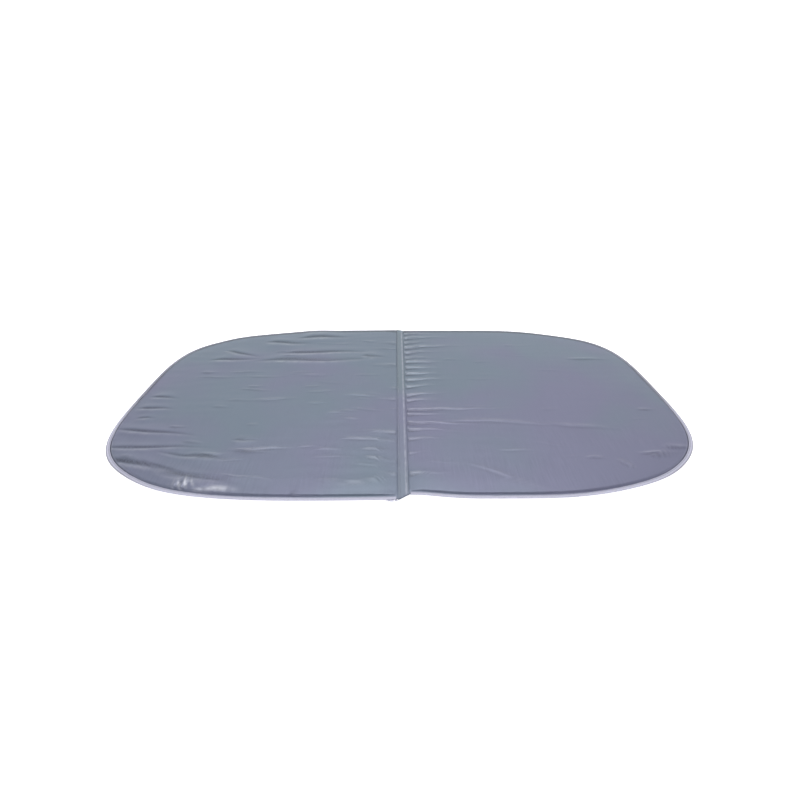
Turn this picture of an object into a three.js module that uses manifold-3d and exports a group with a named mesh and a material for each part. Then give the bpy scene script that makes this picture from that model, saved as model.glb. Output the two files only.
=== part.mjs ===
// A folding solar blanket, which floats on the water of an oval two-person spa to keep its heat in. It is
// two D-shaped panels, joined across the middle by a taped seam. A panel is a thin foam core and a reflective
// film, sewn between two skins of coated cloth. The panels fold up against each other along the seam's two
// edges, as a book's covers do.
// Millimetres, +Z up. X runs along the blanket and Y across it. The origin is under its middle, on what it
// lies on.

import * as THREE from "three";
import { LoftGeometry } from "three/addons/geometries/LoftGeometry.js";
import { mergeVertices } from "three/addons/utils/BufferGeometryUtils.js";
import Module from "manifold-3d";

const wasm = await Module();
wasm.setup();

// The rim, a superellipse: |x / (length / 2)| ^ endFullness + |y / (width / 2)| ^ sideFullness = 1.
const length = 1500;
const width = 900;
const endFullness = 3.85;
const sideFullness = 3.6;

// The plies, and the clearance left between any two of them.
const skinThickness = 0.5;
const coreThickness = 6.4;
const filmThickness = 0.3;
const tapeThickness = 0.6;
const threadThickness = 0.5;
const plyGap = 0.3;

// The sewn margin round each panel, where the two skins meet with no foam between them.
const bindingLap = 10; // reach of the edge binding over each face
const marginPastBinding = 2; // bare margin inside the binding
const stitchFromBindingEdge = 3;
const coreFromMargin = 1.2; // from the margin's inner edge to the nose of the foam
const upperShoulder = 14; // over which the top skin climbs to the panel's full height
const lowerShoulder = 9; // over which the bottom skin drops to the surface that it lies on
const shoulderSteps = 3;

// The seam between the panels, and its two fold lines.
const seamWidth = 24; // from fold line to fold line
const seamTapeToFold = 0.8;
const panelToFold = 2;
const seamStitchFromTapeEdge = 3;
const ribSlope = 1.5; // width of each side of the rib that the lapped edges raise in the upper tape

// Facets.
const rimSegments = 24;
const seamEdgeSegments = 4;

// Heights in the sewn margin, from the floor up. The fold lines lie in its middle plane.
const lowerThread = plyGap;
const lowerTape = lowerThread + threadThickness + plyGap;
const lowerMargin = lowerTape + tapeThickness + plyGap;
const foldHeight = lowerMargin + skinThickness + plyGap / 2;
const upperMargin = foldHeight + plyGap / 2;
const upperTape = upperMargin + skinThickness + plyGap;
const upperThread = upperTape + tapeThickness + plyGap;

// Heights in the middle of a panel.
const coreBottom = skinThickness + plyGap;
const coreTop = coreBottom + coreThickness;
const filmBottom = coreTop + plyGap;
const topSkinBottom = filmBottom + filmThickness + plyGap;
const panelTop = topSkinBottom + skinThickness;

// Insets from the rim.
const skinEdge = tapeThickness + plyGap;
const marginEdge = bindingLap + marginPastBinding;
const panelStart = seamWidth / 2 + panelToFold; // x of each panel's edge beside the seam

const skinCloth = new THREE.MeshStandardMaterial({ color: 0x838b9e, roughness: 0.42, metalness: 0.25 });
const bindingCloth = new THREE.MeshStandardMaterial({ color: 0xb9bcd6, roughness: 0.7, metalness: 0 });
const seamCloth = new THREE.MeshStandardMaterial({ color: 0x9aa3b5, roughness: 0.6, metalness: 0.1 });
const foam = new THREE.MeshStandardMaterial({ color: 0xeceef0, roughness: 0.9, metalness: 0 });
const foil = new THREE.MeshStandardMaterial({ color: 0xc9ccd2, roughness: 0.25, metalness: 0.9 });
const thread = new THREE.MeshStandardMaterial({ color: 0xa9aebf, roughness: 0.65, metalness: 0 });

// Points of the right-hand rim, moved in by inset: from x = start at the front, round the end, to x = start
// at the back.
function rimPoints(start, inset = 0) {
  const from = Math.acos((start / (length / 2)) ** (endFullness / 2));
  const points = [];
  for (let i = 0; i <= rimSegments; i++) {
    const angle = from * ((2 * i) / rimSegments - 1);
    const across = Math.abs(Math.sin(angle)) ** (2 / sideFullness) * Math.sign(angle);
    const along = Math.cos(angle) ** (2 / endFullness);
    const outward = new THREE.Vector2(
      along ** (endFullness - 1) / length * endFullness,
      (Math.abs(across) ** (sideFullness - 1) * Math.sign(across)) / width * sideFullness,
    ).normalize();
    points.push(
      new THREE.Vector2((along * length) / 2, (across * width) / 2).addScaledVector(outward, -inset),
    );
  }
  return points;
}

// A D-shaped ring at one height: the rim moved in by inset, closed by the straight edge beside the seam.
function panelRing(inset, z) {
  const start = panelStart + inset - skinEdge;
  const ring = rimPoints(start, inset).map((p) => new THREE.Vector3(p.x, p.y, z));
  const [front, back] = [ring[0], ring[rimSegments]];
  for (let i = 1; i < seamEdgeSegments; i++) ring.push(back.clone().lerp(front, i / seamEdgeSegments));
  return ring;
}

// A solid through D-shaped rings, each given as [inset, z].
function panelLoft(rings) {
  return new LoftGeometry(rings.map(([inset, z]) => panelRing(inset, z)), { capStart: true, capEnd: true });
}

// Rings of a quarter-ellipse shoulder, from the height at the margin to the height of the panel's face.
function shoulder(inset, reach, marginHeight, faceHeight) {
  const rings = [];
  for (let i = 0; i <= shoulderSteps; i++) {
    const angle = (i / shoulderSteps) * (Math.PI / 2);
    rings.push([
      inset + reach * (1 - Math.cos(angle)),
      marginHeight + (faceHeight - marginHeight) * Math.sin(angle),
    ]);
  }
  return rings;
}

// A strip of constant section along the rim, its section given as points of [inset, z].
function rimStrip(section) {
  const lines = section.map(([inset]) => rimPoints(panelStart, inset));
  const stations = [];
  for (let i = 0; i <= rimSegments; i++) {
    stations.push(section.map(([, z], k) => new THREE.Vector3(lines[k][i].x, lines[k][i].y, z)));
  }
  return new LoftGeometry(stations, { capStart: true, capEnd: true });
}

// The manifold-3d solid of a closed geometry.
function solidOf(geometry) {
  const bare = new THREE.BufferGeometry().copy(geometry);
  bare.deleteAttribute("normal");
  bare.deleteAttribute("uv");
  const merged = mergeVertices(bare);
  return new wasm.Manifold(
    new wasm.Mesh({
      numProp: 3,
      vertProperties: new Float32Array(merged.attributes.position.array),
      triVerts: new Uint32Array(merged.index.array),
    }),
  );
}

// The BufferGeometry of one solid with another cut out of it.
function cut(geometry, tool) {
  const { vertProperties, triVerts } = solidOf(geometry).subtract(solidOf(tool)).getMesh();
  return new THREE.BufferGeometry()
    .setAttribute("position", new THREE.BufferAttribute(vertProperties, 3))
    .setIndex(new THREE.BufferAttribute(triVerts, 1));
}

function part(name, geometry, material) {
  const mesh = new THREE.Mesh(geometry, material);
  mesh.name = name;
  return mesh;
}

// A straight strip across the blanket, its section given as points of [x, z].
function seamStrip(section, reach) {
  const outline = new THREE.Shape(section.map(([x, z]) => new THREE.Vector2(x, z)));
  return new THREE.ExtrudeGeometry(outline, { depth: 2 * reach, bevelEnabled: false })
    .rotateX(Math.PI / 2)
    .translate(0, reach, 0);
}

function rectangle(x0, x1, z0, z1) {
  return [[x0, z0], [x1, z0], [x1, z1], [x0, z1]];
}

// The top skin: a shell over the foam, with a flat margin all round.
function topSkin() {
  const outside = [
    [skinEdge, upperMargin],
    [skinEdge, upperMargin + skinThickness],
    ...shoulder(marginEdge, upperShoulder, upperMargin + skinThickness, panelTop),
  ];
  const hollow = marginEdge + skinThickness;
  const inside = [
    [hollow, upperMargin - skinThickness],
    ...shoulder(hollow, upperShoulder, upperMargin, topSkinBottom),
  ];
  return cut(panelLoft(outside), panelLoft(inside));
}

// The bottom skin: flat on the floor, stepped up round its margin to clear the binding under it.
function bottomSkin() {
  const outside = [
    ...shoulder(marginEdge, lowerShoulder, lowerMargin, 0).reverse(),
    [skinEdge, lowerMargin],
    [skinEdge, lowerMargin + skinThickness],
  ];
  const hollow = marginEdge + skinThickness;
  const inside = [
    ...shoulder(hollow, lowerShoulder, lowerMargin + skinThickness, skinThickness).reverse(),
    [hollow, lowerMargin + 2 * skinThickness],
  ];
  return cut(panelLoft(outside), panelLoft(inside));
}

// The foam: full thickness to the shoulder, then pinched to a nose beside the sewn margin.
function foamCore() {
  const nose = marginEdge + skinThickness + coreFromMargin;
  return panelLoft([
    ...shoulder(nose, lowerShoulder, foldHeight - plyGap, coreBottom).reverse(),
    ...shoulder(nose, upperShoulder, foldHeight + plyGap, coreTop),
  ]);
}

// The reflective film bonded on the foam's flat top.
function reflectiveFilm() {
  const edge = marginEdge + skinThickness + coreFromMargin + upperShoulder;
  return panelLoft([[edge, filmBottom], [edge, filmBottom + filmThickness]]);
}

// The edge binding: one tape folded round the rim, so that it laps both faces.
function edgeBinding() {
  const bevel = tapeThickness;
  return rimStrip([
    [bindingLap, lowerTape],
    [bevel, lowerTape],
    [0, lowerTape + bevel],
    [0, upperTape + tapeThickness - bevel],
    [bevel, upperTape + tapeThickness],
    [bindingLap, upperTape + tapeThickness],
    [bindingLap, upperTape],
    [tapeThickness, upperTape],
    [tapeThickness, lowerTape + tapeThickness],
    [bindingLap, lowerTape + tapeThickness],
  ].reverse());
}

// A sewing thread along the binding, as the square rod that its stitches fill.
function bindingThread(z) {
  const outer = bindingLap - stitchFromBindingEdge - threadThickness / 2;
  return rimStrip(rectangle(outer, outer + threadThickness, z, z + threadThickness));
}

function panel(side) {
  const group = new THREE.Group();
  group.add(
    part(`${side}_bottom_skin`, bottomSkin(), skinCloth),
    part(`${side}_foam_core`, foamCore(), foam),
    part(`${side}_reflective_film`, reflectiveFilm(), foil),
    part(`${side}_top_skin`, topSkin(), skinCloth),
    part(`${side}_edge_binding`, edgeBinding(), bindingCloth),
    part(`${side}_binding_needle_thread`, bindingThread(upperThread), thread),
    part(`${side}_binding_bobbin_thread`, bindingThread(lowerThread), thread),
  );
  return group;
}

// The seam: both panels' sewn-in edges, lapped in the middle between an upper and a lower tape.
function seam() {
  const group = new THREE.Group();
  const half = seamWidth / 2 - seamTapeToFold;
  const row = half - seamStitchFromTapeEdge;
  const lap = row - threadThickness / 2 - ribSlope; // the lapped edges end at the rib's shoulders
  const reach = rimPoints(panelStart)[rimSegments].y;
  const allowanceReach = reach - skinEdge;
  const top = upperTape + tapeThickness;
  const rib = plyGap; // height by which the lapped edges lift the upper tape
  group.add(
    part(
      "seam_lower_tape",
      seamStrip(rectangle(-half, half, lowerTape, lowerTape + tapeThickness), reach),
      seamCloth,
    ),
    part(
      "left_seam_allowance",
      seamStrip(rectangle(-half, lap, lowerMargin, lowerMargin + skinThickness), allowanceReach),
      skinCloth,
    ),
    part(
      "right_seam_allowance",
      seamStrip(rectangle(-lap, half, upperMargin, upperMargin + skinThickness), allowanceReach),
      skinCloth,
    ),
    part(
      "seam_upper_tape",
      seamStrip([
        [-half, upperTape],
        [-lap - ribSlope, upperTape],
        [-lap, upperTape + rib],
        [lap, upperTape + rib],
        [lap + ribSlope, upperTape],
        [half, upperTape],
        [half, top],
        [lap + ribSlope, top],
        [lap, top + rib],
        [-lap, top + rib],
        [-lap - ribSlope, top],
        [-half, top],
      ], reach),
      seamCloth,
    ),
  );
  for (const [side, x] of [["left", -row], ["right", row]]) {
    for (const [kind, z] of [["needle", upperThread], ["bobbin", lowerThread]]) {
      const section = rectangle(x - threadThickness / 2, x + threadThickness / 2, z, z + threadThickness);
      group.add(part(`${side}_seam_${kind}_thread`, seamStrip(section, reach), thread));
    }
  }
  return group;
}

const leftPanel = panel("left");
leftPanel.scale.x = -1;

const blanket = new THREE.Group();
blanket.add(leftPanel, seam(), panel("right"));

export default blanket;
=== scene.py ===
"""The looks of a folding solar blanket: two thin padded panels of silver-coated cloth with bound edges,
joined by a taped seam. Metres, in the CAD model's frame: X along the blanket, Y across it, Z up, floor
at Z = 0."""

import math

import bpy
import numpy as np
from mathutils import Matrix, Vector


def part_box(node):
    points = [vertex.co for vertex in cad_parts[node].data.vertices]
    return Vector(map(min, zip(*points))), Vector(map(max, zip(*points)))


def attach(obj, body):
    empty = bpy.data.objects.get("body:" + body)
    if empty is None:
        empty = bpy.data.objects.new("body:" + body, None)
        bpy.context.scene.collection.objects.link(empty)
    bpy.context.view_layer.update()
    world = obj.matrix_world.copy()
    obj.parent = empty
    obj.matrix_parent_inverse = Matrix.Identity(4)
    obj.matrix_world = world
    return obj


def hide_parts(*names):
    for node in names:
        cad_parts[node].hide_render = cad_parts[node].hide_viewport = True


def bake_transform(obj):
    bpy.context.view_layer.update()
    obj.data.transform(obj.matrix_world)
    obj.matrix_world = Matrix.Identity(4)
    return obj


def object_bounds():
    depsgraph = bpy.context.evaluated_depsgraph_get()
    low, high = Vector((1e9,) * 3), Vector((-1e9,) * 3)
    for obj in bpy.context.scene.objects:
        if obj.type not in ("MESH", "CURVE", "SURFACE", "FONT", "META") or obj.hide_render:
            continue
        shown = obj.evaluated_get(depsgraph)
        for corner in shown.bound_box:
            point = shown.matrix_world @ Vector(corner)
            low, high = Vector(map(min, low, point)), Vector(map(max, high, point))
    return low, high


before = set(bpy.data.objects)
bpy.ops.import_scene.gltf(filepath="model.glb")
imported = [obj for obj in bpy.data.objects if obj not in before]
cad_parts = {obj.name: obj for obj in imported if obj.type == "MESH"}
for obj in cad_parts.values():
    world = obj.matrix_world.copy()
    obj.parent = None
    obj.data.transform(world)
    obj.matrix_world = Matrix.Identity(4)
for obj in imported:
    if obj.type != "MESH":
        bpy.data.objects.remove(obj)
cad_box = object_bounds()

# The camera ---------------------------------------------------------------------------------------

CAMERA_PLACE = (-0.0145, -1.168, 0.69)
CAMERA_TILT = 58.4  # degrees from straight down
CAMERA_TURN = -0.55
CAMERA_LENS = 20.8  # millimetres, on a 36 mm sensor


def add_camera():
    """A wide-angle camera in front of the blanket's middle, looking back and down at it."""
    data = bpy.data.cameras.new("camera")
    data.lens = CAMERA_LENS
    data.sensor_width = 36
    data.clip_end = 100
    camera = bpy.data.objects.new("camera", data)
    camera.location = CAMERA_PLACE
    camera.rotation_euler = (math.radians(CAMERA_TILT), 0, math.radians(CAMERA_TURN))
    bpy.context.scene.collection.objects.link(camera)
    bpy.context.scene.camera = camera


add_camera()

# Sizes --------------------------------------------------------------------------------------------

MM = 0.001
HALF_LENGTH, HALF_WIDTH = cad_box[1].x, cad_box[1].y
END_FULLNESS = 3.85  # the rim is |x / half length| ^ 3.85 + |y / half width| ^ 3.6 = 1
SIDE_FULLNESS = 3.6

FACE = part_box("right_top_skin")[1].z  # height of the panels' upper face
MARGIN_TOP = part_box("right_seam_allowance")[1].z
MARGIN_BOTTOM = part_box("left_seam_allowance")[0].z
TAPE_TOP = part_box("right_edge_binding")[1].z
TAPE_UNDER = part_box("right_edge_binding")[0].z
PANEL_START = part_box("right_top_skin")[0].x
SEAM_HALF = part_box("seam_upper_tape")[1].x
STITCH_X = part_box("right_seam_needle_thread")[1].x - 0.25 * MM
RIM_STITCH = HALF_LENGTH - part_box("right_binding_needle_thread")[1].x + 0.25 * MM

CLOTH = 0.35 * MM  # thickness
TAPE = 0.55 * MM
BINDING_LAP = 9.6 * MM  # how far the binding reaches in over the panel
NOSE = 1.6 * MM  # how far the binding's folded edge bulges
STEP_START = 10.5 * MM  # how far in from the rim a panel's cloth leaves the stitching
RISE = 75 * MM  # distance over which it then reaches its full height
SEED = 11

SKEW = 0.01  # how much further back the blanket lies for each metre to the right
SEAM_GATHER = 14.5 * MM  # how far the seam draws in the right panel's front edge
SEAM_PULL = 8 * MM  # and its back edge
# Where else each edge is drawn in, or bags out where negative: how far in millimetres, and the middle and
# half width of the stretch in metres.
FRONT_DRAWN_IN = [(20, -0.68, 0.10), (16, 0.70, 0.07), (-7.5, 0.38, 0.14)]
BACK_DRAWN_IN = [(24, 0.6, 0.13), (7, -0.5, 0.12), (14, -0.65, 0.05), (-7, -0.31, 0.06)]

# Surfaces -----------------------------------------------------------------------------------------

ANGLES = np.linspace(-np.pi / 2, np.pi / 2, 4001)


def rim_at(angle, inset):
    """A point of the right-hand rim, x = a cos^(2/m), y = b sin^(2/n), moved in along the normal by
    inset."""
    along = np.abs(np.cos(angle)) ** (2 / END_FULLNESS)
    across = np.sign(angle) * np.abs(np.sin(angle)) ** (2 / SIDE_FULLNESS)
    out_x = END_FULLNESS / HALF_LENGTH * along ** (END_FULLNESS - 1)
    out_y = SIDE_FULLNESS / HALF_WIDTH * np.sign(across) * np.abs(across) ** (SIDE_FULLNESS - 1)
    size = np.hypot(out_x, out_y)
    return HALF_LENGTH * along - inset * out_x / size, HALF_WIDTH * across - inset * out_y / size


def rim_gap(x, y):
    """Distance in from the rim, to first order: (1 - f) / |gradient of f|, where f = 1 is the rim."""
    along, across = np.abs(x) / HALF_LENGTH, np.abs(y) / HALF_WIDTH
    out_x = END_FULLNESS / HALF_LENGTH * along ** (END_FULLNESS - 1)
    out_y = SIDE_FULLNESS / HALF_WIDTH * across ** (SIDE_FULLNESS - 1)
    steepness = np.maximum(np.hypot(out_x, out_y), 0.1)
    return (1 - along ** END_FULLNESS - across ** SIDE_FULLNESS) / steepness


def lap_share(x):
    """How much of the binding's full lap shows on top: all of it at the ends, less along the sides."""
    return 0.72 + 0.28 * smooth(0.35, 0.65, np.abs(x))


def rim_stations(start, count):
    """Angles and distances along the rim of count evenly spaced points, from x = start at the front
    round the end to x = start at the back."""
    x, y = rim_at(ANGLES, 0)
    run = np.concatenate([[0], np.cumsum(np.hypot(np.diff(x), np.diff(y)))])
    middle = len(ANGLES) // 2
    first = np.interp(start, x[:middle], run[:middle])
    distances = np.linspace(first, run[-1] - first, count)
    return np.interp(distances, run, ANGLES), distances


def smooth(low, high, value):
    """0 below low, 1 above high, and 3t^2 - 2t^3 between."""
    t = np.clip((value - low) / (high - low), 0, 1)
    return t * t * (3 - 2 * t)


def bell(value, width):
    """1 at 0, falling off on both sides over width: exp(-(value / width)^2)."""
    return np.exp(-((value / width) ** 2))


def settle(x, y):
    """y moved to where the sewing lets the cloth lie. Each panel is cut slightly askew, its front edge
    is drawn in where the seam gathers it and at the ends, it bags out between them, and its back edge
    is drawn in along the seam's half of the right panel and at the corners."""
    front = np.clip(-y / HALF_WIDTH, 0, 1) ** 3
    back = np.clip(y / HALF_WIDTH, 0, 1) ** 3
    by_seam = smooth(-PANEL_START, PANEL_START, x)
    gather = SEAM_GATHER * by_seam * bell(np.clip(x - PANEL_START, 0, None), 0.083)
    gather += sum(far * MM * bell(x - middle, width) for far, middle, width in FRONT_DRAWN_IN)
    short = SEAM_PULL * by_seam * (1 - smooth(0.25, 0.65, x))
    short += sum(far * MM * bell(x - middle, width) for far, middle, width in BACK_DRAWN_IN)
    return y + SKEW * x + gather * front - short * back


class Panel:
    """The D-shaped grid of a panel's cloth, before it has any height. Rings follow the outline, one at
    each of insets in from the rim, with their straight side at each of seam_lines; inside them a Coons
    patch joins the innermost ring's four sides. along and across are the patch's steps in x and y."""

    def __init__(self, side, insets, seam_lines, along, across):
        self.side = side
        turn = 2 * along + across
        loop = 2 * along + 2 * across
        rings = np.zeros((len(insets), loop, 2))
        run = np.zeros((len(insets), loop))
        for ring, (inset, seam_x) in enumerate(zip(insets, seam_lines)):
            angles, distances = rim_stations(seam_x, turn + 1)
            rings[ring, : turn + 1] = np.stack(rim_at(angles, inset), 1)
            run[ring, : turn + 1] = distances
            front, back = rings[ring, 0].copy(), rings[ring, turn].copy()
            share = np.linspace(0, 1, across + 1)[1:-1, None]
            rings[ring, turn + 1 :] = back + (front - back) * share
            run[ring, turn + 1 :] = -1
        inner = rings[-1]
        s = np.linspace(0, 1, along + 1)[:, None, None]
        t = np.linspace(0, 1, across + 1)[None, :, None]
        number = np.arange(loop + 1) % loop
        front = number[: along + 1]
        end = number[along : along + across + 1]
        back = number[along + across : turn + 1][::-1]
        seam = number[turn : loop + 1][::-1]
        patch = (
            (1 - t) * inner[front][:, None] + t * inner[back][:, None]
            + (1 - s) * inner[seam][None] + s * inner[end][None]
            - (1 - s) * (1 - t) * inner[front[0]] - s * (1 - t) * inner[front[-1]]
            - (1 - s) * t * inner[back[0]] - s * t * inner[back[-1]]
        )
        last = (len(insets) - 1) * loop
        index = np.zeros((along + 1, across + 1), int)
        inside = np.arange((along - 1) * (across - 1)).reshape(along - 1, -1)
        index[1:-1, 1:-1] = len(insets) * loop + inside
        index[:, 0] = last + front
        index[-1, :] = last + end
        index[:, -1] = last + back
        index[0, :] = last + seam
        flat = np.concatenate([rings.reshape(-1, 2), patch[1:-1, 1:-1].reshape(-1, 2)])
        self.x, self.y = flat[:, 0], flat[:, 1]
        self.run = np.concatenate([run.ravel(), np.full(len(flat) - rings.size // 2, -1.0)])
        self.rim_gap = rim_gap(self.x, self.y)
        self.seam_gap = self.x - PANEL_START + STEP_START + 3 * MM
        ring = np.arange(len(insets) * loop).reshape(len(insets), loop)
        ahead = np.roll(ring, -1, 1)
        bands = np.stack([ring[:-1], ahead[:-1], ahead[1:], ring[1:]], -1).reshape(-1, 4)
        cells = np.stack([index[:-1, :-1], index[1:, :-1], index[1:, 1:], index[:-1, 1:]], -1)
        self.quads = np.concatenate([bands, cells.reshape(-1, 4)])
        if side < 0:
            self.x = -self.x
            self.quads = self.quads[:, ::-1]


def make_mesh(name, points, quads, material, flat=None, marks=None):
    """An object from points and quads, smooth shaded. flat is each point's place on the uncut cloth,
    kept as the UV map, and marks are further values for each point that its material reads by name."""
    mesh = bpy.data.meshes.new(name)
    mesh.from_pydata(points.tolist(), [], quads.tolist())
    mesh.shade_smooth()
    if flat is not None:
        layer = mesh.uv_layers.new(name="cloth")
        layer.data.foreach_set("uv", flat[quads.ravel()].astype(np.float32).ravel())
    for mark, values in (marks or {}).items():
        mesh.attributes.new(mark, "FLOAT", "POINT").data.foreach_set("value", values.astype(np.float32))
    mesh.materials.append(material)
    piece = bpy.data.objects.new(name, mesh)
    bpy.context.scene.collection.objects.link(piece)
    return piece


def loop_quads(rows, columns, closed=True):
    """Quads of a grid of points numbered row by row, each row closed on itself unless told
    otherwise."""
    index = np.arange(rows * columns).reshape(rows, columns)
    if closed:
        index = np.concatenate([index, index[:, :1]], 1)
    return np.stack([index[:-1, :-1], index[1:, :-1], index[1:, 1:], index[:-1, 1:]], -1).reshape(-1, 4)


TUBE_SIDES = 6


def tube_quads(rings, count):
    """Quads of count separate six-sided tubes with closed ends, each of so many rings of points."""
    end = np.array([[0, 1, 2, 3], [0, 3, 4, 5]])
    one = np.concatenate([loop_quads(rings, TUBE_SIDES), end, end[:, ::-1] + (rings - 1) * TUBE_SIDES])
    return (one[None] + (rings * TUBE_SIDES * np.arange(count))[:, None, None]).reshape(-1, 4)


def add_modifier(piece, kind, **settings):
    modifier = piece.modifiers.new(kind.lower(), kind)
    for key, value in settings.items():
        setattr(modifier, key, value)


# Creases ------------------------------------------------------------------------------------------


def ripples(x, y, count, wave_x, wave_y, seed):
    """Sum of count sine waves of random direction and phase, whose crests are about wave_x long and
    wave_y apart, scaled to a height of about 1."""
    chance = np.random.default_rng(seed)
    total = np.zeros_like(x)
    for _ in range(count):
        turns_x = chance.normal(0, 1 / wave_x)
        turns_y = chance.choice([-1, 1]) * chance.uniform(0.6, 1.5) / wave_y
        total += np.sin(2 * np.pi * (turns_x * x + turns_y * y) + chance.uniform(0, 2 * np.pi))
    return total * np.sqrt(2 / count) / 2


def ridge(aside, width):
    """The section of a crease in coated cloth: a narrow crest, steep towards the front and easier
    behind."""
    return (1 + (aside / np.where(aside < 0, 0.6 * width, width)) ** 2) ** -1.5


def scattered_folds(count, length, height, seed):
    """Rows of short faint creases at random, nearly along the blanket."""
    chance = np.random.default_rng(seed)
    return [
        (
            chance.uniform(-0.68, 0.62), chance.uniform(-0.40, 0.40), length * chance.uniform(0.4, 1.6),
            chance.normal(-2, 5), chance.uniform(3.5, 7), height * chance.uniform(0.4, 1.3),
        )
        for _ in range(count)
    ]


def fold_lines(x, y, placed):
    """For each crease, how far each point is to its back, its width there, its height, how far it has
    faded in at its start and out at its end, and whether it is a groove between two swells instead of a
    ridge. A groove has a negative width in its row."""
    for start_x, start_y, length, angle, width, height in placed:
        turn = math.radians(angle)
        ahead = (x - start_x) * math.cos(turn) + (y - start_y) * math.sin(turn)
        aside = (y - start_y) * math.cos(turn) - (x - start_x) * math.sin(turn)
        bow = 0.012 * length * np.sin(2.4 * np.pi * ahead / length + 40 * start_x)
        fade = smooth(-0.1 * length, 0.25 * length, ahead)
        fade = fade * (1 - smooth(0.4 * length, 1.15 * length, ahead))
        yield aside - bow, abs(width) * MM * (0.6 + 0.35 * fade), height * MM, fade, width < 0


def pucker_lines(x, y, placed):
    """The same for the short folds that run out from the stitched seam, each narrowing away from it.
    Each has its place along the seam, its reach and its height."""
    away = np.clip(np.abs(x) - PANEL_START, 0, None)
    start = smooth(-2 * MM, 4 * MM, np.abs(x) - PANEL_START)
    for number, (place, reach, height) in enumerate(placed):
        slant = 0.07 * math.sin(7 * number)
        line = place + slant * away + 1.5 * MM * np.sin(away / (14 * MM) + number)
        widest = (6.5 + 5 * max(min((place + 0.1) / 0.4, 1), 0)) * MM
        spread = widest * (1 - 0.4 * smooth(0, reach, away))
        yield y - line, spread, 1.9 * height * MM, start * np.exp(-((away / (1.15 * reach)) ** 2)), False


def folded(lines):
    """Height of the cloth where the ridges and grooves of all the lines are added up."""
    total = 0
    for aside, width, height, fade, sunk in lines:
        section = ridge(aside, width)
        if sunk:
            section = bell(aside, 3.2 * width) - 0.9 * (1 + (aside / width) ** 2) ** -1.5
        total = total + height * fade * section
    return total


def creased(lines, on_ridge, on_groove):
    """0 to 1 along a line beside each crease, on_ridge or on_groove of its widths to its back."""
    depth = 0
    for aside, width, height, fade, sunk in lines:
        place = (on_groove if sunk else on_ridge) * width
        depth = depth + min(height / (3 * MM), 1) * bell(aside - place, 0.75 * width) * fade
    return np.clip(depth, 0, 1)


def rim_gathers(panel, strength, seed):
    """Small folds square to the binding, where sewing it on took up the cloth."""
    chance = np.random.default_rng(seed)
    total = np.zeros_like(panel.x)
    longest = panel.run.max()
    place = 20 * MM
    on_rim = panel.run >= 0
    while place < longest:
        reach = chance.uniform(8, 26) * MM
        height = chance.uniform(0.15, 0.7) * MM * strength(place / longest)
        width = chance.uniform(3, 7) * MM
        depth = np.clip(panel.rim_gap - 11 * MM, 0, None)
        total += on_rim * height * bell(panel.run - place, width) * np.exp(-(depth / reach) ** 1.5)
        place += chance.uniform(9, 26) * MM
    return total * smooth(10 * MM, 15 * MM, panel.rim_gap)


# Where the long creases lie: start x and y and length in metres, angle in degrees, width and height in
# millimetres. A negative width is a groove instead of a ridge.
LEFT_CREASES = [
    (-0.71, -0.03, 0.08, -7, -7, 2.4),
    (-0.72, -0.09, 0.10, -3, -7, 2.4),
    (-0.70, -0.14, 0.05, -1, -6, 2.0),
    (-0.73, -0.19, 0.22, -8, -7, 2.6),
    (-0.60, -0.18, 0.05, -2, 5, 1.4),
    (-0.73, -0.27, 0.26, 0, -7, 2.4),
    (-0.58, -0.29, 0.20, -10, -6, 1.6),
    (-0.71, -0.31, 0.24, -14, -9, 3.2),
    (-0.55, -0.36, 0.20, -12, -9, 2.6),
    (-0.42, -0.24, 0.07, -2, -6, 2.0),
    (-0.40, -0.28, 0.14, 3, 6, 1.8),
    (-0.51, -0.30, 0.10, -6, -6, 1.8),
    (-0.43, -0.43, 0.12, -6, 6, 2.2),
    (-0.50, -0.42, 0.05, 72, 5, 2.2),
    (-0.48, -0.42, 0.05, 80, 5, 2.4),
    (-0.46, 0.19, 0.38, 1, -13, 3.4),
    (-0.40, 0.245, 0.30, 2, -12, 3.0),
    (-0.62, 0.20, 0.16, 1, -10, 2.6),
    (-0.36, 0.37, 0.18, 2, -13, 3.0),
    (-0.47, 0.34, 0.16, -8, -12, 2.8),
    (-0.59, 0.27, 0.13, -23, -10, 2.4),
    (-0.13, 0.22, 0.08, -6, -10, 2.4),
    (-0.26, -0.07, 0.05, 0, 5, 1.0),
    (-0.17, -0.11, 0.06, -1, 5, 1.0),
    (-0.17, -0.13, 0.05, -9, 4, 0.8),
    (-0.10, -0.28, 0.07, -2, 5, 2.0),
    (-0.09, -0.31, 0.06, -12, 5, 2.0),
    (-0.21, -0.28, 0.06, -1, 5, 1.0),
    (-0.14, -0.41, 0.12, 16, 7, 1.6),
    (-0.08, -0.21, 0.05, -1, 4, 1.0),
    (-0.24, -0.43, 0.04, -30, 5, 1.6),
]
RIGHT_CREASES = [
    (0.12, -0.16, 0.30, -5, 9, 1.2),
    (0.38, -0.18, 0.18, -10, 9, 1.0),
    (0.64, -0.12, 0.05, -1, 5, 1.4),
    (0.55, 0.19, 0.13, -3, 7, 1.2),
    (0.63, -0.29, 0.07, -1, 6, 1.6),
    (0.56, -0.31, 0.10, -1, 6, 1.6),
    (0.58, -0.32, 0.06, -1, 5, 1.4),
    (0.43, -0.32, 0.05, -6, 5, 1.2),
    (0.50, -0.33, 0.05, -47, 6, 1.4),
    (0.23, -0.29, 0.09, -1, 6, 0.8),
    (0.15, -0.34, 0.20, -28, 9, 0.8),
]
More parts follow.
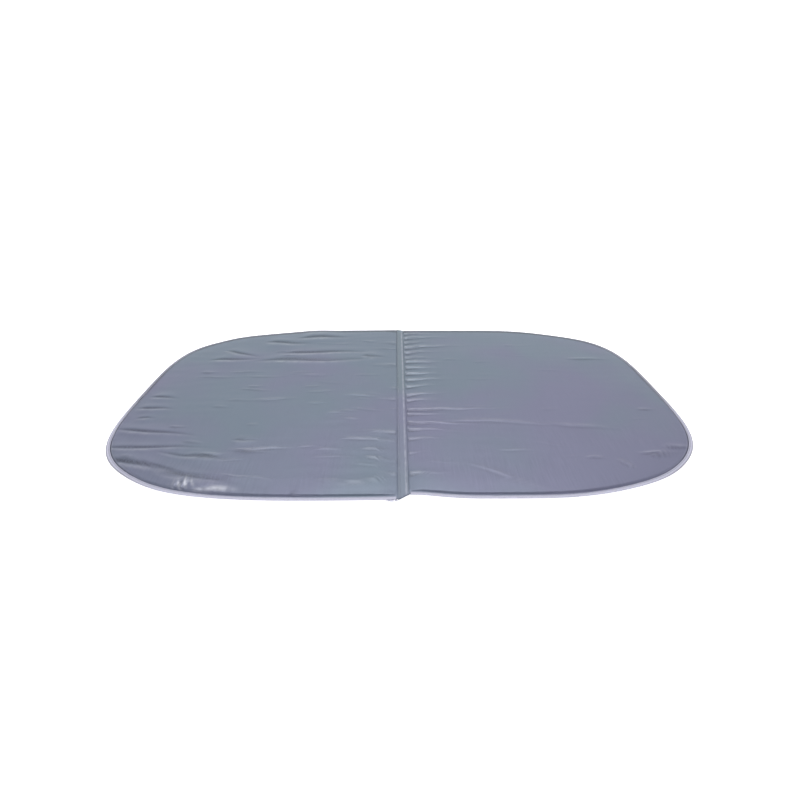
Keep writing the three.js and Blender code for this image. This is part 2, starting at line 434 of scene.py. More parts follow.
# Where each seam pucker lies: place along the seam and reach in metres, height in millimetres.
LEFT_PUCKERS = [
    (0.33, 0.04, 0.8), (0.16, 0.05, 0.7), (-0.05, 0.04, 0.8), (-0.21, 0.06, 1.2), (-0.37, 0.03, 0.7),
]
RIGHT_PUCKERS = [
    (0.41, 0.05, 1.6), (0.37, 0.07, 2.2), (0.33, 0.05, 1.6), (0.29, 0.11, 2.0), (0.25, 0.06, 2.0),
    (0.21, 0.05, 1.8), (0.18, 0.07, 2.2), (0.14, 0.06, 2.2), (0.10, 0.06, 2.4), (0.06, 0.07, 2.2),
    (0.02, 0.05, 1.8), (-0.03, 0.06, 1.8), (-0.06, 0.05, 1.4), (-0.11, 0.15, 2.4), (-0.13, 0.06, 1.6),
    (-0.17, 0.09, 2.6), (-0.20, 0.06, 2.0), (-0.24, 0.05, 1.4), (-0.30, 0.03, 0.7), (-0.38, 0.04, 1.6),
]
CRUMPLED = (-0.445, -0.405)  # the middle of a crumpled patch at the left panel's front


def climb(gap, step):
    """0 to 1: up by step over the edge of the foam, and then an easy rise to the face."""
    rise = np.clip((gap - STEP_START) / RISE, 0, 1)
    return step * smooth(STEP_START, STEP_START + 5 * MM, gap) + (1 - step) * (1 - (1 - rise) ** 2)


def face_profile(panel, margin, face):
    """Height of a panel's cloth: level on the sewn margin, rising from the rim and from the seam to the
    face."""
    return margin + (face - margin) * climb(panel.rim_gap, 0.68) * climb(panel.seam_gap, 0.15)


def slack(panel):
    """How much the dents of a panel's cloths may deepen, from none at the sewn margin."""
    return smooth(12 * MM, 40 * MM, panel.rim_gap) * smooth(12 * MM, 40 * MM, panel.seam_gap)


def soft_floor(value, low, softness):
    """value, kept from falling below low by a rounded corner."""
    over = value - low
    return low + 0.5 * (over + np.sqrt(over ** 2 + softness ** 2))


def crumpled_patch(x, y):
    """1 in the middle of the crumpled patch, fading to 0 outside it."""
    return bell(x - CRUMPLED[0], 0.075) * bell(y - CRUMPLED[1], 0.02)


def crumpled_painted_highlight(panel):
    """Painted highlight on the crumpled patch's folds: a few strokes across its left end and one long
    bulge."""
    x, y = panel.x - CRUMPLED[0], panel.y - CRUMPLED[1]
    strokes = np.clip(0.2 + ripples(y, x + 0.3 * y, 12, 0.05, 0.018, SEED + 12), 0, 1)
    bulge = bell(x - 0.037, 0.034) * bell(y + 0.009 + 2 * (x - 0.037) ** 2, 0.007)
    patchy_highlight = 0.9 * strokes * bell(x + 0.036, 0.026) * bell(y - 0.01, 0.016)
    return (panel.side < 0) * np.maximum(patchy_highlight, 0.75 * bulge)


def painted_edge_shade(panel):
    """0 to 1: painted shade in the groove between the binding's lap and the panel's face, weaker along
    the front, reaching further in along the back, and beside the seam at the back of the left panel."""
    lap = BINDING_LAP * lap_share(panel.x)
    at_rim = smooth(lap - 2 * MM, lap, panel.rim_gap) * (1 - smooth(11 * MM, 14 * MM, panel.rim_gap))
    at_rim = at_rim * (0.1 + 0.9 * smooth(-0.42, -0.3, panel.y))
    inmost = (14 + 12 * smooth(0.15, 0.4, panel.y)) * MM
    at_back = 0.85 * smooth(-0.15, 0.05, panel.y) * (1 - smooth(inmost, inmost + 9 * MM, panel.rim_gap))
    at_seam = 0.3 * (panel.side < 0) * smooth(-0.1, 0.25, panel.y)
    at_seam = at_seam * bell(panel.seam_gap - 12.5 * MM, 2.2 * MM)
    return np.maximum(np.maximum(at_rim, at_back), at_seam)


def top_surface(panel):
    """Height of a panel's upper cloth, with painted shade by its rim, seam and creases and painted
    highlights.
    """
    x, y = panel.x, panel.y
    if panel.side < 0:
        placed = LEFT_CREASES + scattered_folds(110, 0.09, 1.0, SEED + 8)
        puckers = list(pucker_lines(x, y, LEFT_PUCKERS))
        gathers = rim_gathers(panel, lambda share: 1 + 1.2 * bell(share - 0.22, 0.07), SEED + 2)
        gathers += 0.8 * MM * crumpled_patch(x, y) * ripples(x, y, 30, 0.03, 0.02, SEED + 5)
        fine = 0.22
    else:
        placed = RIGHT_CREASES + scattered_folds(60, 0.07, 0.5, SEED + 9)
        puckers = list(pucker_lines(x, y, RIGHT_PUCKERS))
        gathers = rim_gathers(panel, lambda share: 0.7, SEED + 4)
        fine = 0.1
    creases = list(fold_lines(x, y, placed))
    waves = fine * ripples(x, y, 24, 0.26, 0.045, SEED + panel.side) * MM
    swell = 0.6 * ripples(x, y, 8, 0.5, 0.3, SEED + 7 * panel.side) * MM
    free = smooth(10 * MM, 16 * MM, panel.rim_gap)
    sewn_in = smooth(11.5 * MM, 17.5 * MM, panel.seam_gap)
    relief = 1.5 * folded(creases) + gathers + (waves + swell) * slack(panel)
    relief = soft_floor(relief, -0.3 * MM, 0.3 * MM) * sewn_in + folded(puckers)
    # Painted shade on one side of each crease and pucker.
    painted_shade_amount = np.maximum(0.9 * creased(creases, -1.1, 0.4), 0.8 * creased(puckers, -1.2, 0)) * free
    # Painted highlight on the crests of the creases and puckers.
    painted_highlight = np.maximum(0.2 * creased(creases, 0.3, -1.2), 0.22 * creased(puckers, 0.2, 0)) * free
    marks = {
        "painted_shade": np.maximum(painted_edge_shade(panel), painted_shade_amount),
        "painted_highlight": np.maximum(crumpled_painted_highlight(panel), painted_highlight),
    }
    return face_profile(panel, MARGIN_TOP, FACE) + relief * free, marks


def bottom_height(panel):
    """Height of a panel's under cloth: level at the margin, then down to the floor, with shallow dents
    in it."""
    x, y = panel.x, panel.y
    height = face_profile(panel, MARGIN_BOTTOM, 0)
    dents = np.clip(ripples(x, y, 24, 0.3, 0.06, SEED + 20 + panel.side), 0, 1)
    return height + 0.55 * MM * dents * slack(panel)


# Materials ----------------------------------------------------------------------------------------


def linear(hex_colour):
    """An sRGB hex colour as linear red, green, blue and alpha."""
    channels = np.array([int(hex_colour[i : i + 2], 16) for i in (0, 2, 4)]) / 255
    light = np.where(channels <= 0.04045, channels / 12.92, ((channels + 0.055) / 1.055) ** 2.4)
    return (*light.tolist(), 1)


def node(tree, kind, settings=None, inputs=None):
    """A new shader node, with its settings, and its inputs by name or number, each a value or a
    socket."""
    made = tree.nodes.new(kind)
    for key, value in (settings or {}).items():
        setattr(made, key, value)
    for key, value in (inputs or {}).items():
        if isinstance(value, bpy.types.NodeSocket):
            tree.links.new(value, made.inputs[key])
        else:
            made.inputs[key].default_value = value
    return made


def new_material(name):
    """An empty material, its node tree and its output."""
    material = bpy.data.materials.new(name)
    material.use_nodes = True
    tree = material.node_tree
    tree.nodes.clear()
    return material, tree, node(tree, "ShaderNodeOutputMaterial")


def share(tree, value, low, high, low_result, high_result):
    """value, mapped from low .. high to low_result .. high_result."""
    return node(
        tree, "ShaderNodeMapRange", inputs={0: value, 1: low, 2: high, 3: low_result, 4: high_result}
    ).outputs[0]


def product(tree, first, second):
    return node(tree, "ShaderNodeMath", {"operation": "MULTIPLY"}, {0: first, 1: second}).outputs[0]


def added(tree, first, second):
    return node(tree, "ShaderNodeMath", {"operation": "ADD"}, {0: first, 1: second}).outputs[0]


def scaled(tree, colour, tone):
    """A colour made darker or lighter by a tone."""
    return node(tree, "ShaderNodeVectorMath", {"operation": "SCALE"}, {0: colour, 3: tone}).outputs[0]


def mark_value(tree, mark):
    """A piece's own mark, which is 0 where the piece has none of that name."""
    return node(tree, "ShaderNodeAttribute", {"attribute_name": mark}).outputs["Fac"]


def noise(tree, place, scale, detail=2.0, **more):
    """Noise with about scale patches in a metre."""
    inputs = {"Vector": place, "Scale": scale, "Detail": detail, **more}
    return node(tree, "ShaderNodeTexNoise", inputs=inputs).outputs[0]


def mix_colour(tree, amount, first, second):
    return node(tree, "ShaderNodeMix", {"data_type": "RGBA"}, {0: amount, 6: first, 7: second}).outputs[2]


BANDS_A_METRE = 3.14  # how many bands a wave texture of scale 1 draws, about


def bands(tree, place, direction, pitch):
    """Smooth stripes across X or Y, about pitch metres apart."""
    inputs = {"Vector": place, "Scale": 1 / pitch / BANDS_A_METRE}
    return node(tree, "ShaderNodeTexWave", {"bands_direction": direction}, inputs).outputs[1]


def bump(tree, strength, depth, height, **below):
    inputs = {"Strength": strength, "Distance": depth, "Height": height, **below}
    return node(tree, "ShaderNodeBump", inputs=inputs).outputs[0]


def add_shader(tree, output, inputs):
    shader = node(tree, "ShaderNodeBsdfPrincipled", inputs=inputs)
    tree.links.new(shader.outputs[0], output.inputs[0])


def coated_cloth(name, base, shade, light, weave):
    """Silver-coated plain-weave polyester, calendered on its face: a soft satin shine, a faint cast
    that drifts between blue-grey and violet, and a weave that shows only close up. Painted shade darkens
    it along its sewing, rim and creases, and a painted highlight lightens it towards its light colour."""
    material, tree, output = new_material(name)
    cloth = node(tree, "ShaderNodeUVMap", {"uv_map": "cloth"}).outputs[0]
    parts = node(tree, "ShaderNodeSeparateXYZ", inputs={0: cloth}).outputs

    # The cast: patches some 0.3 m across, with more violet to the front and the right.
    drift = noise(tree, cloth, 3.2, 2.0)
    back = share(tree, parts[1], -0.45, 0.45, 0.12, -0.16)
    ends = share(tree, parts[0], 0.0, 0.75, -0.05, 0.10)
    cast = added(tree, drift, added(tree, back, ends))
    colour = mix_colour(tree, share(tree, cast, 0.36, 0.64, 0.0, 1.0), linear(shade), linear(base))

    # Fine streaks across the blanket, in patches, and mostly at the front.
    drawn_out = node(
        tree, "ShaderNodeMapping", inputs={"Vector": cloth, "Scale": (230.0, 16.0, 1.0)}
    ).outputs[0]
    streak = share(tree, noise(tree, drawn_out, 1.0, 3.0), 0.3, 0.7, -1.0, 1.0)
    patches = share(tree, noise(tree, cloth, 7.0, 1.0), 0.45, 0.6, 0.012, 0.065)
    patches = product(tree, patches, share(tree, parts[1], -0.1, -0.35, 0.3, 1.0))
    tone = added(tree, product(tree, streak, patches), 1.0)

    # Painted shade along its sewing and creases, speckled, and a painted highlight on its crests.
    speckle = noise(tree, cloth, 260.0, 2.0)
    painted_shade_amount = product(tree, mark_value(tree, "painted_shade"), share(tree, speckle, 0.35, 0.6, 0.55, 1.0))
    tone = product(tree, tone, share(tree, painted_shade_amount, 0.0, 1.0, 1.0, 0.42))
    patchy_highlight = share(tree, noise(tree, cloth, 45.0, 4.0), 0.4, 0.6, 0.45, 1.0)
    painted_highlight = product(tree, mark_value(tree, "painted_highlight"), patchy_highlight)
    finished = mix_colour(tree, painted_highlight, scaled(tree, colour, tone), linear(light))

    threads = added(tree, bands(tree, cloth, "X", weave), bands(tree, cloth, "Y", weave))
    relief = bump(tree, 0.25, 0.6 * MM, noise(tree, cloth, 70.0, 4.0, Distortion=0.6))
    grain = bump(tree, 0.12, 0.2 * MM, threads, Normal=relief)
    roughness = share(tree, drift, 0.3, 0.7, 0.42, 0.48)
    add_shader(tree, output, {
        "Base Color": finished, "Metallic": 0.22, "Roughness": roughness, "Specular IOR Level": 0.4,
        "Normal": grain,
    })
    return material


def woven_tape(name, base, rib):
    """Woven polyester tape, heat set: matt, with fine ribs across it, a little tonal speckle, and
    painted shade in the dip of its stitching and wherever else its piece's mark sets it."""
    material, tree, output = new_material(name)
    along = node(tree, "ShaderNodeUVMap", {"uv_map": "cloth"}).outputs[0]
    tone = share(tree, noise(tree, along, 180.0, 3.0), 0.3, 0.7, 0.94, 1.04)
    # Painted shade from the piece's mark darkens the tape.
    tone = product(tree, tone, share(tree, mark_value(tree, "painted_shade"), 0.0, 1.0, 1.0, 0.28))
    relief = bump(tree, 0.3, 0.3 * MM, bands(tree, along, "X", rib))
    colour = scaled(tree, linear(base)[:3], tone)
    add_shader(tree, output, {"Base Color": colour, "Roughness": 0.6, "Normal": relief})
    return material


def plain_finish(name, base, roughness, metallic, grain):
    """A one-colour finish with a light mottle in its tone, grain metres across."""
    material, tree, output = new_material(name)
    place = node(tree, "ShaderNodeTexCoord").outputs["Object"]
    mottle = noise(tree, place, 1 / grain, 3.0)
    ramp = node(tree, "ShaderNodeValToRGB", inputs={"Fac": mottle})
    ramp.color_ramp.elements[0].color = tuple(0.9 * c for c in linear(base)[:3]) + (1,)
    ramp.color_ramp.elements[1].color = linear(base)
    relief = bump(tree, 0.2, grain / 8, mottle)
    add_shader(tree, output, {
        "Base Color": ramp.outputs[0], "Roughness": roughness, "Metallic": metallic, "Normal": relief,
    })
    return material


# The cloth's real weave is about 0.3 mm and the tape's ribs 0.6 mm. Both are drawn coarser, so that
# they show.
# The third colour of each coated cloth is the colour of its painted highlight.
SKIN = coated_cloth("silver_coated_polyester", "787A93", "738090", "D5D7E0", 0.9 * MM)
BINDING = woven_tape("polyester_binding_tape", "C8C8DC", 1.1 * MM)
SEAM_TAPE = coated_cloth("coated_seam_tape", "7B7D96", "76838F", "BDC0D0", 0.9 * MM)
# The foam is an extruded closed-cell sheet, matt; the film is metallised in a vacuum, glossy; the thread is
# spun from short fibres, matt.
FOAM = plain_finish("polyethylene_foam", "F0F1F3", 0.85, 0, 1.6 * MM)
FILM = plain_finish("metallised_film", "C6CAD1", 0.22, 0.95, 20 * MM)
THREAD = plain_finish("spun_polyester_thread", "B4B9CC", 0.6, 0, 0.8 * MM)

# The panels' cloths -------------------------------------------------------------------------------

SIDES = {"left": -1, "right": 1}
TOP_GRID = (104, 290)  # steps along and across the middle of a panel's grid
UNDER_GRID = (90, 160)
INNER_GRID = (40, 60)
RING_INSETS = MM * np.array([1.2, 5, 9, 10.5, 11.5, 12.5, 13.5, 14.5, 16, 18, 21, 25, 30, 36, 43, 51, 60])
SEAM_LINES = np.concatenate([[6 * MM, 9 * MM, 12 * MM], PANEL_START + RING_INSETS[3:] - STEP_START])


def cloth_piece(name, panel, heights, marks, outside=1):
    """A panel's cloth as a sheet of its real thickness. outside is 1 where it faces up and -1 where it
    faces down."""
    points = np.stack([panel.x, settle(panel.x, panel.y), heights], 1)
    quads = panel.quads if outside > 0 else panel.quads[:, ::-1]
    piece = make_mesh(name, points, quads, SKIN, np.stack([panel.x, panel.y], 1), marks)
    add_modifier(piece, "SOLIDIFY", thickness=CLOTH, offset=-1)
    return piece


def join_over_fold(piece, side_name):
    """Bakes a panel's piece's placing into its mesh, the same on either side."""
    side = SIDES[side_name]
    if side < 0:
        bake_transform(piece)
    else:
        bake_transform(piece)


def apply_modifiers(piece):
    """Bakes a piece's modifiers into its mesh."""
    settled = bpy.data.meshes.new_from_object(piece.evaluated_get(bpy.context.evaluated_depsgraph_get()))
    piece.modifiers.clear()
    piece.data = settled


def add_panel_cloths(side_name):
    side = SIDES[side_name]
    top_panel = Panel(side, RING_INSETS, SEAM_LINES, *TOP_GRID)
    top = cloth_piece(f"{side_name}_top_cloth", top_panel, *top_surface(top_panel))
    under_panel = Panel(side, RING_INSETS[::2], SEAM_LINES[::2], *UNDER_GRID)
    # The under cloth carries the same painted shade along its rim and seam.
    marks = {"painted_shade": painted_edge_shade(under_panel)}
    under = cloth_piece(f"{side_name}_under_cloth", under_panel, bottom_height(under_panel), marks, -1)
    for piece, cad_node in [(top, "top_skin"), (under, "bottom_skin")]:
        apply_modifiers(piece)
        join_over_fold(piece, side_name)
        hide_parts(f"{side_name}_{cad_node}")


def add_inner_plies(side_name):
    """The foam pad with its rounded rim, and the film laid on it."""
    side = SIDES[side_name]
    insets = MM * np.array([14, 15, 17, 20, 25, 32, 45, 60])
    panel = Panel(side, insets, PANEL_START + insets - STEP_START, *INNER_GRID)
    upper = face_profile(panel, MARGIN_TOP, FACE) - 0.7 * MM - 0.3 * MM * slack(panel)
    lower = face_profile(panel, MARGIN_BOTTOM, 0) + 0.45 * MM + 0.55 * MM * slack(panel)
    y = settle(panel.x, panel.y)
    count = len(panel.x)
    points = np.concatenate([np.stack([panel.x, y, upper], 1), np.stack([panel.x, y, lower], 1)])
    rim = np.arange(2 * sum(INNER_GRID))
    ahead = np.roll(rim, -1)
    wall = np.stack([rim + count, ahead + count, ahead, rim], 1)
    if side < 0:
        wall = wall[:, ::-1]
    quads = np.concatenate([panel.quads, panel.quads[:, ::-1] + count, wall])
    foam = make_mesh(f"{side_name}_foam_pad", points, quads, FOAM)
    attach(foam, f"{side_name}_panel")
    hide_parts(f"{side_name}_foam_core")

    insets = MM * np.array([20, 26, 34, 45, 60])
    panel = Panel(side, insets, PANEL_START + insets - STEP_START, *INNER_GRID)
    heights = face_profile(panel, MARGIN_TOP, FACE) - 0.5 * MM - 0.3 * MM * slack(panel)
    heights += 0.03 * MM * ripples(panel.x, panel.y, 16, 0.3, 0.09, SEED + 30)
    points = np.stack([panel.x, settle(panel.x, panel.y), heights], 1)
    film = make_mesh(f"{side_name}_film_sheet", points, panel.quads, FILM, points[:, :2])
    add_modifier(film, "SOLIDIFY", thickness=0.1 * MM, offset=-1)
    apply_modifiers(film)
    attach(film, f"{side_name}_panel")
    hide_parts(f"{side_name}_reflective_film")


for side_name in SIDES:
    add_panel_cloths(side_name)
    add_inner_plies(side_name)

# The edge bindings --------------------------------------------------------------------------------


BINDING_ROWS = 820
BINDING_STITCHES = 541
FRAYED_THREADS = 44


def binding_section():
    """The tape's section as points of (inset, height): round the rim from the lower lap's edge to the
    upper lap's edge on its outside, and back on its inside. The upper lap puffs up outside its
    stitching and its free edge lifts a little."""
    middle = (TAPE_TOP + TAPE_UNDER) / 2
    half = (TAPE_TOP - TAPE_UNDER) / 2
    turn = np.linspace(-np.pi / 2, np.pi / 2, 11)
    nose = np.stack([NOSE * (1 - np.cos(turn)), middle + half * np.sin(turn)], 1)
    lap = np.linspace(NOSE, BINDING_LAP, 13)[1:]
    dip = 0.45 * MM * bell(lap - RIM_STITCH, 1 * MM)
    puff = 0.45 * MM * bell(lap - 4 * MM, 1.8 * MM) + 0.25 * MM * smooth(8 * MM, BINDING_LAP, lap)
    upper = np.stack([lap, middle + half - dip + puff], 1)
    lower = np.stack([lap, middle - half + 0.5 * dip], 1)[::-1]
    outside = np.concatenate([lower, nose, upper])
    step = np.gradient(outside, axis=0)
    normal = np.stack([-step[:, 1], step[:, 0]], 1) / np.hypot(step[:, 0], step[:, 1])[:, None]
    return np.concatenate([outside, (outside - TAPE * normal)[::-1]])


def frayed_end(place, count, seed):
    """Loose thread ends at the binding's cut end: thin tapering tubes with closed ends, each bending
    its own way."""
    chance = np.random.default_rng(seed)
    rings = 6
    ahead = np.linspace(0, 1, rings)[None, :, None]
    length = chance.uniform(4, 12, (count, 1, 1)) * MM
    heading = chance.uniform(-2.4, -0.6, (count, 1, 1)) + chance.normal(0, 0.6, (count, 1, 1)) * ahead
    start = np.array(place) - chance.uniform(0, 1, (count, 3)) * np.array([20, 0.8, 0.8]) * MM
    turn = np.linspace(0, 2 * np.pi, TUBE_SIDES, endpoint=False)[None, None, :]
    fat = 0.4 * MM * (1 - 0.7 * ahead)
    x = start[:, 0, None, None] + length * ahead * np.cos(heading) - fat * np.cos(turn) * np.sin(heading)
    y = start[:, 1, None, None] + length * ahead * np.sin(heading) + fat * np.cos(turn) * np.cos(heading)
    z = start[:, 2, None, None] - 1.2 * MM * ahead ** 2 + fat * np.sin(turn)
    points = np.stack(np.broadcast_arrays(x, y, z), -1).reshape(-1, 3)
    return points, tube_quads(rings, count)


def add_binding(side_name):
    """The tape's section carried along the rim, wavering a little in and out, and puckered across by
    its stitching. It has painted shade underneath, in its stitching's dip, along the back, and on its fold
    except along the front."""
    side = SIDES[side_name]
    section = binding_section()
    angles, distances = rim_stations(PANEL_START - 1 * MM, BINDING_ROWS)
    still = np.zeros_like(distances)
    waver = 0.3 * MM * ripples(distances, still, 10, 0.05, 1, SEED + 40 + side)
    lift = 0.22 * MM * ripples(distances, still, 16, 0.014, 1, SEED + 50 + side)
    inner = smooth(2 * MM, BINDING_LAP, section[:, 0])
    drawn = lap_share(rim_at(angles, 0)[0])[:, None] - 1
    x, y = rim_at(angles[:, None], section[:, 0] * (1 + drawn * inner) + waver[:, None] * inner)
    z = section[:, 1] + lift[:, None] * inner * (section[:, 1] > MARGIN_BOTTOM)
    points = np.stack([side * x, settle(side * x, y), z], -1).reshape(-1, 3)
    rows, columns = x.shape
    half = columns // 2
    first = np.arange(half - 1)
    cap = np.stack([first, first + 1, columns - 2 - first, columns - 1 - first], 1)
    quads = np.concatenate([loop_quads(rows, columns), cap, (cap + (rows - 1) * columns)[:, ::-1]])
    if side < 0:
        quads = quads[:, ::-1]
    around = np.concatenate([np.linspace(0, 25 * MM, half), np.linspace(25 * MM, 0, half)])
    flat = np.stack(np.broadcast_arrays(distances[:, None], around), -1).reshape(-1, 2)
    # Painted shade on the tape's low side by the floor and in the dip of its stitching.
    on_floor = 0.6 * (1 - smooth(2.2 * MM, 3.4 * MM, section[:, 1]))
    sunk = np.maximum(0.6 * bell(section[:, 0] - RIM_STITCH, 0.8 * MM), on_floor)
    # Painted shade on the tape's folded edge, except along the front.
    painted_nose_shade = 0.8 * bell(section[:, 0], 2.4 * MM) * smooth(-0.43, -0.36, y)
    uneven = 1 - 0.1 * ripples(distances, still, 12, 0.03, 1, SEED + 80)
    # Painted shade over the whole tape along the back, a little uneven.
    painted_back_shade = 0.62 * smooth(-0.2, -0.02, y) * uneven[:, None]
    painted_shade_amount = np.maximum(np.maximum(sunk, painted_nose_shade), painted_back_shade).ravel()
    if side < 0:
        end = np.array([-PANEL_START, -HALF_WIDTH + 1.2 * MM, TAPE_UNDER + 2 * MM])
        loose, loose_quads = frayed_end(end, FRAYED_THREADS, SEED + 70)
        quads = np.concatenate([quads, loose_quads + len(points)])
        points = np.concatenate([points, loose])
        flat = np.concatenate([flat, loose[:, :2]])
        painted_shade_amount = np.concatenate([painted_shade_amount, np.full(len(loose), 0.2)])
    piece = make_mesh(f"{side_name}_binding_tape", points, quads, BINDING, flat, {"painted_shade": painted_shade_amount})
    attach(piece, f"{side_name}_panel")
    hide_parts(f"{side_name}_edge_binding")


STITCH = 3.1 * MM  # length of one stitch that shows
STITCH_PITCH = 4 * MM
THREAD_WIDE = 0.45 * MM


def stitch_row(name, centres, directions, rise, body, cad_node):
    """A row of stitches: each a short round thread whose ends dip into the cloth. rise is +1 on the
    upper side and -1 below."""
    rings = 5
    ahead = np.linspace(-0.5, 0.5, rings)
    lift = 0.5 * THREAD_WIDE * (1 - (2 * ahead) ** 4) - 0.25 * THREAD_WIDE
    fat = 0.5 * THREAD_WIDE * np.sqrt(1 - (1.7 * ahead) ** 2)
    turn = np.linspace(0, 2 * np.pi, TUBE_SIDES, endpoint=False)
    away = fat[:, None] * np.cos(turn)
    up = lift[:, None] * rise + fat[:, None] * np.sin(turn)
    direction = directions[:, None, None, :]
    aside = np.stack([-directions[:, 1], directions[:, 0]], 1)[:, None, None, :]
    plan = (
        centres[:, None, None, :2] + direction * (STITCH * ahead)[None, :, None, None]
        + aside * away[None, :, :, None]
    )
    height = centres[:, None, None, 2:] + up[None, :, :, None]
    points = np.concatenate([plan, height], -1)
    piece = make_mesh(name, points.reshape(-1, 3), tube_quads(rings, len(centres)), THREAD)
    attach(piece, body)
    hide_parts(cad_node)


def add_stitch_pair(name, body, x, y, directions, upper, lower):
    """Along one line, the needle thread's stitches at the upper height and the bobbin thread's at the
    lower."""
    for kind, rise, height in [("needle", 1, upper), ("bobbin", -1, lower)]:
        centres = np.stack([x, y, np.full_like(x, height)], 1)
        stitch_row(f"{name}_{kind}_stitches", centres, directions, rise, body, f"{name}_{kind}_thread")


def add_binding_stitches(side_name):
    side = SIDES[side_name]
    angles, _ = rim_stations(PANEL_START + 2 * MM, BINDING_STITCHES)
    drawn = lap_share(rim_at(angles, 0)[0]) - 1
    inset = RIM_STITCH * (1 + drawn * smooth(2 * MM, BINDING_LAP, RIM_STITCH))
    x, y = rim_at(angles, inset)
    x = side * x
    y = settle(x, y)
    directions = np.stack([np.gradient(x), np.gradient(y)], 1)
    directions /= np.hypot(*directions.T)[:, None]
    add_stitch_pair(
        f"{side_name}_binding", f"{side_name}_panel", x, y, directions, TAPE_TOP - 0.3 * MM,
        TAPE_UNDER + 0.3 * MM,
    )


for side_name in SIDES:
    add_binding(side_name)
    add_binding_stitches(side_name)

# The seam -----------------------------------------------------------------------------------------

SEAM_ROWS = 300
BEAD_X = 6.2 * MM  # place and half width of the raised bead
BEAD_WIDE = 2.2 * MM


def strip(name, section, thickness, material, cad_node, ruffle, marks):
    """A strip across the blanket from its section's outer line, points of (x, height), with a thickness
    below it. ruffle is how much it wavers up and down."""
    y, x = np.meshgrid(np.linspace(-HALF_WIDTH, HALF_WIDTH, SEAM_ROWS), section[:, 0], indexing="ij")
    z = section[:, 1] + ruffle * ripples(x, y, 10, 0.05, 0.03, SEED + 60)
    points = np.stack([x, settle(x, y), z], -1).reshape(-1, 3)
    quads = loop_quads(SEAM_ROWS, len(section), closed=False)[:, ::-1]
    flat = np.stack([x, y], -1).reshape(-1, 2)
    spread = {mark: np.broadcast_to(values, x.shape).ravel() for mark, values in marks.items()}
    piece = make_mesh(name, points, quads, material, flat, spread)
    add_modifier(piece, "SOLIDIFY", thickness=thickness, offset=-1)
    apply_modifiers(piece)
    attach(piece, "seam")
    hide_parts(cad_node)


def add_seam():
    """The two tapes, the sewn-in edges between them, and the stitches. The upper tape's right edge is
    turned under, which leaves a fine raised bead with a painted highlight. The upper tape has a painted
    highlight along both edges at the front, and painted shade along its left edge at the back and at its
    left stitching."""
    across = np.linspace(-SEAM_HALF, SEAM_HALF, 45)
    lapped = 0.35 * MM * (1 - smooth(5 * MM, 8.5 * MM, np.abs(across)))
    stitched = bell(across + STITCH_X, 0.8 * MM)
    beaded = bell(across - BEAD_X, BEAD_WIDE)
    upper = np.stack([across, TAPE_TOP + lapped - 0.3 * MM * stitched + 0.6 * MM * beaded], 1)
    rear = smooth(-0.1, 0.25, np.linspace(-HALF_WIDTH, HALF_WIDTH, SEAM_ROWS))[:, None]
    # Painted highlight on the bead and along the tape's edges at the front; painted shade along its left
    # edge at the back and at its left stitching.
    marks = {
        "painted_highlight": 0.5 * beaded + 0.2 * (1 - rear) * bell(np.abs(across) - SEAM_HALF, 1.2 * MM),
        "painted_shade": 0.6 * rear * bell(across + SEAM_HALF, 1.5 * MM) + 0.2 * stitched,
    }
    strip("seam_top_tape", upper, TAPE, SEAM_TAPE, "seam_upper_tape", 0.15 * MM, marks)
    lower = np.stack([across, np.full_like(across, TAPE_UNDER + TAPE)], 1)
    strip("seam_under_tape", lower, TAPE, SEAM_TAPE, "seam_lower_tape", 0.05 * MM, {})
    for side_name, side in SIDES.items():
        edge_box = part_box(f"{side_name}_seam_allowance")
        reach = np.linspace(max(edge_box[0].x, -10 * MM), min(edge_box[1].x, 10 * MM), 9)
        edge = np.stack([reach, np.full_like(reach, edge_box[1].z)], 1)
        cad_node = f"{side_name}_seam_allowance"
        strip(f"{side_name}_seam_edge", edge, CLOTH, SKIN, cad_node, 0.03 * MM, {})
        y = np.arange(-HALF_WIDTH + 3 * MM, HALF_WIDTH - 3 * MM, STITCH_PITCH)
        x = np.full_like(y, side * STITCH_X)
        directions = np.tile([0.0, 1.0], (len(y), 1))
        add_stitch_pair(
            f"{side_name}_seam", "seam", x, settle(x, y), directions, TAPE_TOP - 0.2 * MM,
            TAPE_UNDER + 0.1 * MM,
        )


add_seam()

# The floor and the light --------------------------------------------------------------------------


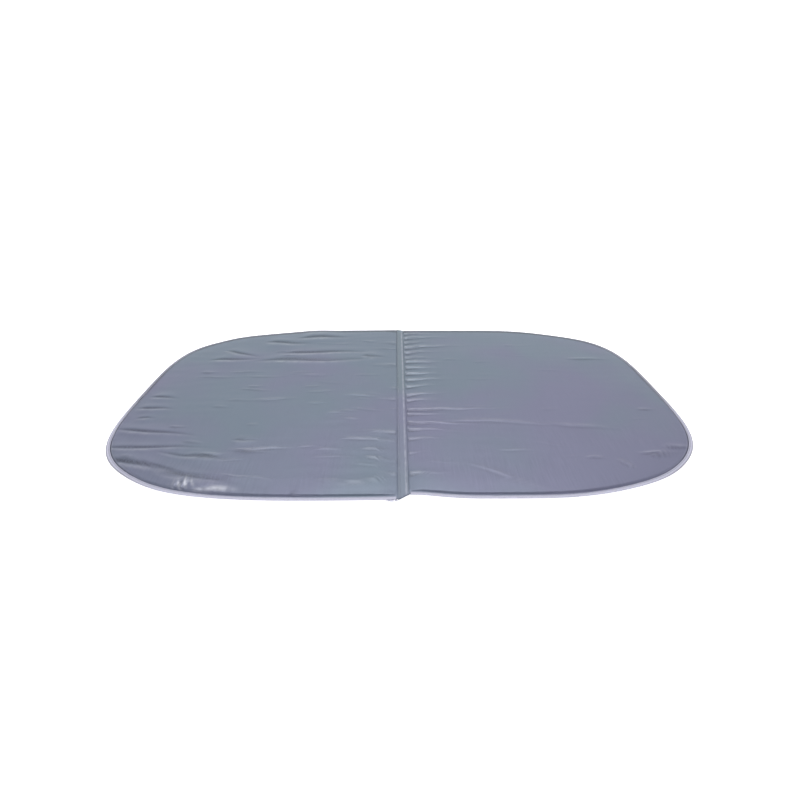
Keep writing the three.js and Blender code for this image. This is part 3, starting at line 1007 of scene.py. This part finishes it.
STAGE_RADII = (0.01, 6.0, 18.0, 19.4, 20.0, 20.0)
STAGE_HEIGHTS = (0.0, 0.0, 0.0, 0.4, 1.6, 9.5)
FADE_START, FADE_END = 4.8, 9.0  # heights between which the wall darkens


def add_stage():
    """A white floor that runs up into a white wall all round, both faintly lit from behind, with one
    large soft light overhead and a little to the back. The wall darkens with height to the grey of the
    room above it."""
    white, tree, output = new_material("lit_white_acrylic")
    place = node(tree, "ShaderNodeTexCoord").outputs["Object"]
    height = node(tree, "ShaderNodeSeparateXYZ", inputs={0: place}).outputs[2]
    fade = share(tree, height, FADE_START, FADE_END, 0, 1)
    add_shader(tree, output, {
        "Base Color": mix_colour(tree, fade, linear("FAFAFA"), linear("707070")),
        "Roughness": 0.9, "Emission Color": linear("FFFFFF"),
        "Emission Strength": share(tree, height, FADE_START, FADE_END, 0.78, 0.13),
    })
    radii = np.array(STAGE_RADII)
    heights = np.array(STAGE_HEIGHTS) - 0.1 * MM
    turn = np.linspace(0, 2 * np.pi, 64, endpoint=False)
    x = radii[:, None] * np.cos(turn)
    y = radii[:, None] * np.sin(turn)
    z = np.broadcast_to(heights[:, None], x.shape)
    first = np.arange(len(turn) // 2 - 1)
    middle = np.stack([first, first + 1, len(turn) - 2 - first, len(turn) - 1 - first], 1)
    quads = np.concatenate([loop_quads(len(radii), len(turn)), middle])
    stage = make_mesh("stage", np.stack([x, y, z], -1).reshape(-1, 3), quads, white)

    world = bpy.data.worlds.new("pale_room")
    world.use_nodes = True
    background = world.node_tree.nodes["Background"]
    background.inputs["Color"].default_value = linear("FFFFFF")
    background.inputs["Strength"].default_value = 0.27
    bpy.context.scene.world = world

    light = bpy.data.lights.new("softbox", "AREA")
    light.shape = "RECTANGLE"
    light.size = 5
    light.size_y = 3
    light.energy = 330
    softbox = bpy.data.objects.new("softbox", light)
    softbox.location = (0.1, 2.4, 6.2)
    softbox.rotation_euler = (math.radians(-21), math.radians(1), 0)
    bpy.context.scene.collection.objects.link(softbox)
    bpy.context.scene.view_settings.view_transform = "Standard"


add_stage()
